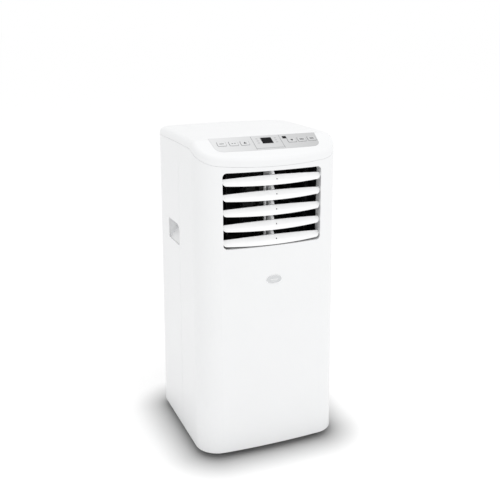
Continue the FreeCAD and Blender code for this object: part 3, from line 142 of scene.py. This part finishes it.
def with_painted_side_shade(material, darkest):
    """Painted shade: the colour darkens evenly from the panel's left end to its right, down to the given
    factor, standing in for the light falling off across the panel.
    """
    tree = material.node_tree
    place = add_node(tree, "ShaderNodeTexCoord")
    split = add_node(tree, "ShaderNodeSeparateXYZ")
    tree.links.new(place.outputs["Object"], split.inputs["Vector"])
    ramp = add_node(tree, "ShaderNodeMapRange")
    left, right = [corner[0] * PANEL_SHARE for corner in cad_box]
    set_inputs(ramp, From_Min=left, From_Max=right, To_Min=1.0, To_Max=darkest)
    tree.links.new(split.outputs["X"], ramp.inputs["Value"])
    multiply_colour(material, ramp.outputs["Result"])
    return material


def with_painted_contact_shadow(material, low, high):
    """A floor material with a soft contact shadow painted round a footprint with rounded corners."""
    tree = material.node_tree
    link = tree.links.new
    middle = [(a + b) / 2 for a, b in zip(low, high)]
    half = [(b - a) / 2 - SHADE_CORNER for a, b in zip(low, high)]

    def vector(operation, source, other=None):
        made = add_node(tree, "ShaderNodeVectorMath", operation=operation)
        link(source, made.inputs[0])
        if other is not None:
            made.inputs[1].default_value = other
        return made.outputs["Value" if operation == "LENGTH" else "Vector"]

    place = add_node(tree, "ShaderNodeTexCoord")
    offset = vector("SUBTRACT", place.outputs["Object"], (middle[0], middle[1], 0.0))
    beyond = vector("SUBTRACT", vector("ABSOLUTE", offset), (half[0], half[1], 0.0))
    away = vector("LENGTH", vector("MAXIMUM", beyond, (0.0, 0.0, 0.0)))
    ramp = add_node(tree, "ShaderNodeMapRange")
    set_inputs(ramp, From_Min=SHADE_CORNER, From_Max=SHADE_CORNER + SHADE_REACH, To_Min=1.0, To_Max=0.0)
    link(away, ramp.inputs["Value"])
    curve = add_node(tree, "ShaderNodeMath", operation="POWER")
    link(ramp.outputs["Result"], curve.inputs[0])
    curve.inputs[1].default_value = SHADE_CURVE
    # painted shadow: the floor colour darkens by up to SHADE_DEPTH close to the footprint
    painted_shadow = add_node(tree, "ShaderNodeMath", operation="MULTIPLY_ADD")
    link(curve.outputs["Value"], painted_shadow.inputs[0])
    painted_shadow.inputs[1].default_value = -SHADE_DEPTH
    painted_shadow.inputs[2].default_value = 1.0
    multiply_colour(material, painted_shadow.outputs["Value"])
    return material


WHITE = (0.80, 0.805, 0.81)
BLADE_WHITE = (0.87, 0.872, 0.875)
BLACK = (0.010, 0.010, 0.011)
MATERIALS = {
    "cover": surface("white_cover", WHITE, 0.34, tint=0.02),
    "blade": surface("white_blade", BLADE_WHITE, 0.36, tint=0.02, grain=1300.0),
    "dark_plastic": surface("black_plastic", BLACK, 0.6, tint=0.3, specular=0.2),
    # the panel and key colours get a painted shade, lighter at the panel's left end and darker at its right
    "panel": with_painted_side_shade(surface("silver_panel", (0.69, 0.695, 0.70), 0.36, tint=0.05, grain=2200.0), 0.72),
    "key": with_painted_side_shade(surface("silver_key", (0.68, 0.685, 0.69), 0.36, tint=0.03, grain=2200.0), 0.78),
    "lens": surface("black_lens", (0.004, 0.004, 0.005), 0.5, tint=0.3, spread=0.03, specular=0.08),
    "badge": surface("badge_satin", (0.60, 0.61, 0.62), 0.30, tint=0.04),
    "wheel": surface("wheel_rubber", (0.022, 0.022, 0.024), 0.6, tint=0.25),
    "board": surface("circuit_board", (0.03, 0.14, 0.07), 0.45, tint=0.2),
    "steel": surface("plated_steel", (0.56, 0.57, 0.59), 0.3, metallic=1.0),
    "compressor": surface("black_enamel", (0.015, 0.015, 0.016), 0.45, tint=0.2),
    "fins": surface("fin_aluminium", (0.55, 0.56, 0.58), 0.42, metallic=1.0),
    "copper": surface("drawn_copper", (0.62, 0.30, 0.18), 0.28, metallic=1.0),
    "grey_plastic": surface("grey_plastic", (0.30, 0.31, 0.33), 0.5),
    "rubber": surface("black_rubber", (0.025, 0.025, 0.026), 0.7, tint=0.25),
    "mesh": surface("filter_gauze", (0.06, 0.065, 0.07), 0.75, tint=0.25),
}
# dark ink for the printed key signs; the same material paints the shade of the rear screws' cross recesses
INK_AND_SHADE = surface("printed_ink_and_shade", (0.035, 0.036, 0.04), 0.5, tint=0.1, specular=0.2)
# pale ink for the printed key borders and marks; it also paints the shade of the panel's divider grooves
PALE_INK_AND_SHADE = surface("pale_ink_and_shade", (0.25, 0.255, 0.26), 0.5, tint=0.06, specular=0.2)
RIM = surface("badge_rim", (0.74, 0.745, 0.75), 0.22, tint=0.03, metallic=0.6)


def dress_cad():
    """Every carried-over CAD node takes the procedural material of its own slot."""
    for part in frame["record"]["subparts"]:
        piece = nodes[part["node"]]
        piece.data.materials.clear()
        piece.data.materials.append(MATERIALS[part["material_slot"]])


# ------------------------------------------------------------ mesh helpers
def make_piece(name, mesh_maker, material, body, place=Matrix.Identity(4)):
    """A mesh piece built by mesh_maker(bm), set at place and carried by a body."""
    bm = bmesh.new()
    mesh_maker(bm)
    bmesh.ops.recalc_face_normals(bm, faces=bm.faces)
    mesh = bpy.data.meshes.new(name)
    bm.to_mesh(mesh)
    bm.free()
    mesh.transform(place)
    piece = bpy.data.objects.new(name, mesh)
    bpy.context.scene.collection.objects.link(piece)
    mesh.materials.append(material)
    for face in mesh.polygons:
        face.use_smooth = True
    mesh.set_sharp_from_angle(angle=SMOOTH_ANGLE)
    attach(piece, body)


def prism(outline, low, high):
    """Extrudes a closed outline of (x, y) points between two heights."""
    def build(bm):
        rings = [[bm.verts.new((x, y, z)) for x, y in outline] for z in (low, high)]
        count = len(outline)
        bm.faces.new(rings[0][::-1])
        bm.faces.new(rings[1])
        for i in range(count):
            after = (i + 1) % count
            bm.faces.new((rings[0][i], rings[0][after], rings[1][after], rings[1][i]))
    return build


def rounded(width, tall, radius, x=0.0, y=0.0, steps=5):
    """A rectangle's outline with rounded corners."""
    points = []
    for sx, sy, start in ((1, 1, 0), (-1, 1, 90), (-1, -1, 180), (1, -1, 270)):
        for step in range(steps + 1):
            angle = math.radians(start + 90 * step / steps)
            points.append((x + sx * (width / 2 - radius) + radius * math.cos(angle),
                           y + sy * (tall / 2 - radius) + radius * math.sin(angle)))
    return points


def oval(long, tall, count=48):
    """An ellipse's outline."""
    angles = [2 * math.pi * i / count for i in range(count)]
    return [(long / 2 * math.cos(angle), tall / 2 * math.sin(angle)) for angle in angles]


def frame_of(outer, inner, low, high):
    """A flat ring between two outlines of as many points."""
    def build(bm):
        count = len(outer)
        rings = [[bm.verts.new((x, y, z)) for x, y in line]
                 for line, z in ((outer, low), (outer, high), (inner, high), (inner, low))]
        for ring, after in zip(rings, rings[1:] + rings[:1]):
            for i in range(count):
                bm.faces.new((ring[i], ring[(i + 1) % count], after[(i + 1) % count], after[i]))
    return build


# ------------------------------------------------------------ key panel
def facing(point, angle, axis):
    """The place of a flat piece drawn in mm, turned about an axis and set at a point in metres."""
    return Matrix.Translation(point) @ Matrix.Rotation(angle, 4, axis) @ Matrix.Scale(MM, 4)


# the slanted brow's own plane: its origin is where it meets the crowned top
BROW = facing((0, -90 * MM, 699.19 * MM), math.radians(27.8), "X")
FACE = 0.2                      # the panel film's face and the keys' tops, in mm over the brow plane
KEY_TOP = 1.1
INK_THICK = 0.12


def ink(name, outline, material=INK_AND_SHADE, body="housing", rise=FACE):
    """A thin printed shape on the brow, or a thin line of painted groove shade."""
    make_piece(name, prism(outline, rise, rise + INK_THICK), material, body, BROW)


def brow_centre(node):
    """A node's middle in the brow's own millimetres."""
    low, high = [Vector(c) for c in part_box(node)]
    return BROW.inverted() @ ((low + high) / 2)


def make_key_icons():
    """A generic sign on every key: dashes, dots and the two arrows."""
    signs = {
        "key_timer": [rounded(9.5, 1.4, 0.6)],
        "key_fan": [rounded(3.0, 1.6, 0.7, -2.8), rounded(3.0, 1.6, 0.7, 2.8)],
        "key_up": [[(-3.4, -2.4), (3.4, -2.4), (0.0, 3.4)]],
        "key_down": [[(-3.4, 2.4), (0.0, -3.4), (3.4, 2.4)]],
        "key_mode": [rounded(10.0, 1.3, 0.6, 0, 1.5), rounded(10.0, 1.3, 0.6, 0, -1.5)],
        "key_power": [rounded(9.5, 1.3, 0.6, 0, 1.5), rounded(9.5, 1.3, 0.6, 0, -1.5)],
    }
    for node, outlines in signs.items():
        middle = brow_centre(node)
        for number, outline in enumerate(outlines, start=1):
            moved = [(x + middle.x, y + middle.y) for x, y in outline]
            ink(f"{node}_sign_{number}", moved, body=node, rise=KEY_TOP)
        ring_out = rounded(19.6, 15.1, 3.0, middle.x, middle.y)
        ring_in = rounded(18.6, 14.1, 2.6, middle.x, middle.y)
        border = frame_of(ring_out, ring_in, FACE - 0.05, FACE + INK_THICK)
        make_piece(f"{node}_border", border, PALE_INK_AND_SHADE, "housing", BROW)


def make_panel_lines():
    """Two divider lines in pale ink that paint the shade of the panel's grooves, the rail under the display
    and small marks beside it.
    """
    for name, x in (("left", -28.0), ("right", 35.0)):
        ink(f"panel_groove_shade_{name}", rounded(0.9, 43.0, 0.3, x, -25.5), PALE_INK_AND_SHADE)
    ink("panel_rail", rounded(62.0, 0.8, 0.3, 3.5, -44.2), PALE_INK_AND_SHADE)
    places = [(x, y) for x in (-17, 24) for y in (-12, -19, -26)]
    for number, (x, y) in enumerate(places, start=1):
        ink(f"panel_mark_{number}", rounded(5.0, 1.2, 0.5, x, y), PALE_INK_AND_SHADE)


def make_display_frame():
    """A raised frame round the display."""
    middle = brow_centre("display_window")
    outer = rounded(26.0, 22.0, 1.6, middle.x, middle.y)
    inner = rounded(24.4, 20.4, 1.0, middle.x, middle.y)
    rim = frame_of(outer, inner, FACE - 0.1, FACE + 0.3)
    make_piece("display_frame", rim, MATERIALS["key"], "housing", BROW)


# ------------------------------------------------------------ badge
def make_badge_trim():
    """A raised rim and two plain bars on the badge."""
    low, high = [Vector(c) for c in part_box("badge")]
    middle = (low + high) / 2
    place = facing((middle.x, low.y, middle.z), math.pi / 2, "X")
    make_piece("badge_rim", frame_of(oval(33.4, 17.4), oval(31.0, 15.0), -0.3, 0.35), RIM, "housing", place)
    make_piece("badge_bar", prism(rounded(17.0, 2.6, 1.2, 0, 0), -0.2, 0.25), RIM, "housing", place)
    make_piece("badge_line", prism(rounded(11.0, 1.2, 0.5, 0, -3.6), -0.2, 0.22), RIM, "housing", place)


# ------------------------------------------------------------ rear screws
SCREW_SPACING = 60 * MM         # a bin taller than one screw head and shorter than the gap to the next


def make_screw_recess_shade():
    """The painted shade of a cross recess, two crossed dark bars, in the head of each rear screw."""
    screws = {}
    for vertex in nodes["cover_screws"].data.vertices:
        key = (vertex.co.x > 0, round(vertex.co.z / SCREW_SPACING))
        screws.setdefault(key, []).append(vertex.co)
    for number, points in enumerate(screws.values(), start=1):
        low, high = [Vector(pick(axis) for axis in zip(*points)) for pick in (min, max)]
        place = facing(((low.x + high.x) / 2, high.y, (low.z + high.z) / 2), -math.pi / 2, "X")
        for side, turn in (("a", math.pi / 4), ("b", -math.pi / 4)):
            # a dark bar painted where the screw's cross recess lies in shade
            bar = prism(rounded(5.2, 1.1, 0.3), -0.5, 0.06)
            name = f"screw_{number}_recess_{side}"
            make_piece(name, bar, INK_AND_SHADE, "housing", place @ Matrix.Rotation(turn, 4, "Z"))


# ------------------------------------------------------------ casters
def make_wheel_rings():
    """A raised ring on each side of every caster wheel."""
    for number in range(1, 5):
        node = f"caster_wheel_{number}"
        low, high = [Vector(c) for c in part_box(node)]
        middle = (low + high) / 2
        for side, x in (("left", low.x), ("right", high.x)):
            place = facing((x, middle.y, middle.z), math.pi / 2, "Y")
            ring = frame_of(oval(20.5, 20.5), oval(17.5, 17.5), -0.35, 0.35)
            name = f"{node}_ring_{side}"
            make_piece(name, ring, MATERIALS["grey_plastic"], f"wheel_{number}", place)


# ------------------------------------------------------------ floor, light, camera
def area_light(name, place, target, side, power):
    """A square lamp aimed at a point."""
    light = bpy.data.lights.new(name, "AREA")
    light.shape = "RECTANGLE"
    light.size = light.size_y = side
    light.energy = power
    lamp = bpy.data.objects.new(name, light)
    lamp.location = place
    lamp.rotation_euler = (Vector(target) - Vector(place)).to_track_quat("-Z", "Y").to_euler()
    bpy.context.scene.collection.objects.link(lamp)


def make_floor():
    """A wide pale floor with a soft shadow painted round the covers' footprint."""
    corners = [(x * FLOOR_HALF, y * FLOOR_HALF, 0) for x, y in ((-1, -1), (1, -1), (1, 1), (-1, 1))]
    mesh = bpy.data.meshes.new("floor")
    mesh.from_pydata(corners, [], [(0, 1, 2, 3)])
    floor = bpy.data.objects.new("floor", mesh)
    bpy.context.scene.collection.objects.link(floor)
    boxes = [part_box(node) for node in ("rear_cover", "front_cover")]
    low = [min(box[0][axis] for box in boxes) for axis in range(2)]
    high = [max(box[1][axis] for box in boxes) for axis in range(2)]
    # the floor is evenly pale apart from the painted contact shadow added below
    pale = surface("pale_floor_with_painted_shadow", (1.0, 1.0, 1.0), 0.8, tint=0.002, specular=0.0, cloud=2.0)
    mesh.materials.append(with_painted_contact_shadow(pale, low, high))


def make_light():
    """An even white sky with two weak lamps."""
    world = bpy.data.worlds.new("studio")
    world.use_nodes = True
    set_inputs(world.node_tree.nodes["Background"], Strength=SKY, Color=(1, 1, 1, 1))
    bpy.context.scene.world = world
    bpy.context.scene.view_settings.view_transform = "Standard"
    for name, (place, target, side, power) in LAMPS.items():
        area_light(name, place, target, side, power)


def make_camera():
    """The camera that looks down on the front and the left side."""
    camera = bpy.data.cameras.new("camera")
    camera.sensor_width = SENSOR_WIDTH
    camera.lens = FOCAL_PER_WIDTH * camera.sensor_width
    camera.clip_end = 200.0
    holder = bpy.data.objects.new("camera", camera)
    holder.location = CAMERA_PLACE
    holder.rotation_euler = Euler((math.radians(90 - CAMERA_DROP), 0, -math.radians(CAMERA_YAW)))
    bpy.context.scene.collection.objects.link(holder)
    bpy.context.scene.camera = holder


dress_cad()
make_key_icons()
make_panel_lines()
make_display_frame()
make_badge_trim()
make_screw_recess_shade()
make_wheel_rings()
make_floor()
make_light()
make_camera()
